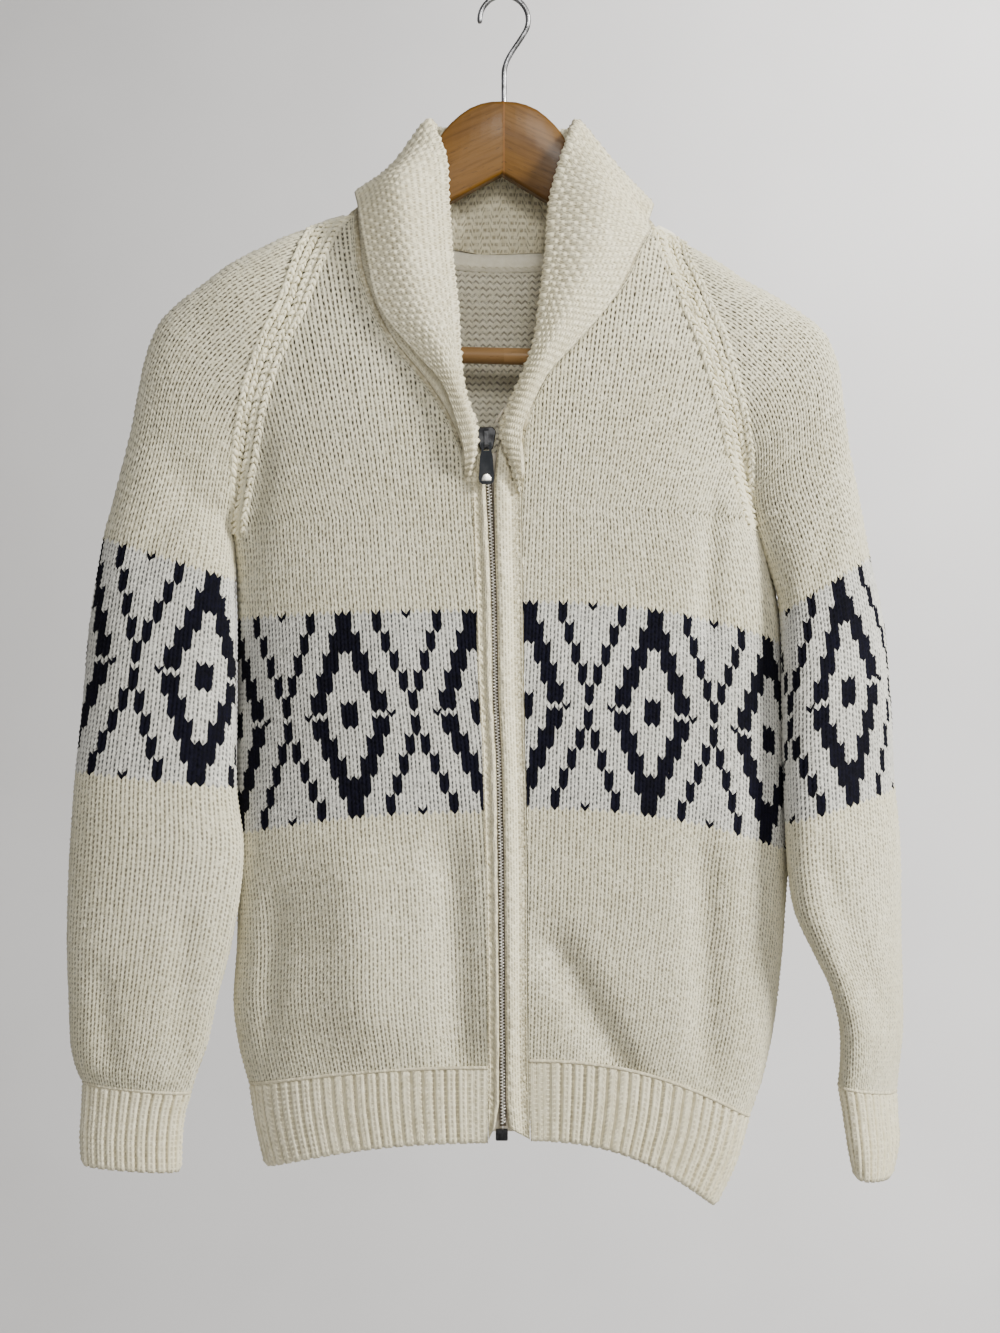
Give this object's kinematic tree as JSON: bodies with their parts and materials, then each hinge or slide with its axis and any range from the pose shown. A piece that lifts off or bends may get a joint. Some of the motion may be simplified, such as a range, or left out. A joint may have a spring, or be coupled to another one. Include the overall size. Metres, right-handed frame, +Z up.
{
  "type": "fair isle zip cardigan on a wooden hanger",
  "caption": "Raglan zip cardigan in thick knit with a folded shawl collar and a diamond motif band, hanging on a wooden hanger.",
  "frame": {"origin": "inner top of the hanger hook's crook, where it rests on a rail or peg", "axes": "+Z up, -Y out of the garment's front, +X towards the wearer's left"},
  "size_m": [0.5505, 0.0984, 0.7995],
  "materials": {
    "cream_wool": "matte, fuzzy knit",
    "rib_wool": "matte, fuzzy knit",
    "collar_wool": "matte, fuzzy knit",
    "zip_tape": "matte weave",
    "zip_metal": "satin",
    "pull_metal": "dark satin",
    "varnished_wood": "glossy varnish",
    "hook_steel": "dark satin"
  },
  "bodies": {
    "body": {"front_right": "cream_wool", "front_left": "cream_wool", "back": "cream_wool", "sleeve_right": "cream_wool", "sleeve_left": "cream_wool", "hem_rib_front_right": "rib_wool", "hem_rib_front_left": "rib_wool", "hem_rib_back": "rib_wool", "cuff_right": "rib_wool", "cuff_left": "rib_wool", "collar": "collar_wool", "band_right": "collar_wool", "band_left": "collar_wool", "zip_tape_right": "zip_tape", "zip_tape_left": "zip_tape", "zip_chain": "zip_metal", "zip_slider": "zip_metal", "zip_bottom_stop": "zip_metal", "hanger_body": "varnished_wood", "hanger_bar": "varnished_wood", "hanger_hook": "hook_steel"},
    "pull": {"zip_pull": "pull_metal"}
  },
  "joints": [
    {"name": "pull_hinge", "type": "hinge", "parent": "body", "child": "pull", "pos_m": [-0.0113, -0.0477, -0.29845], "axis": [-1, 0, 0], "range_deg": [0, 120]}
  ]
}
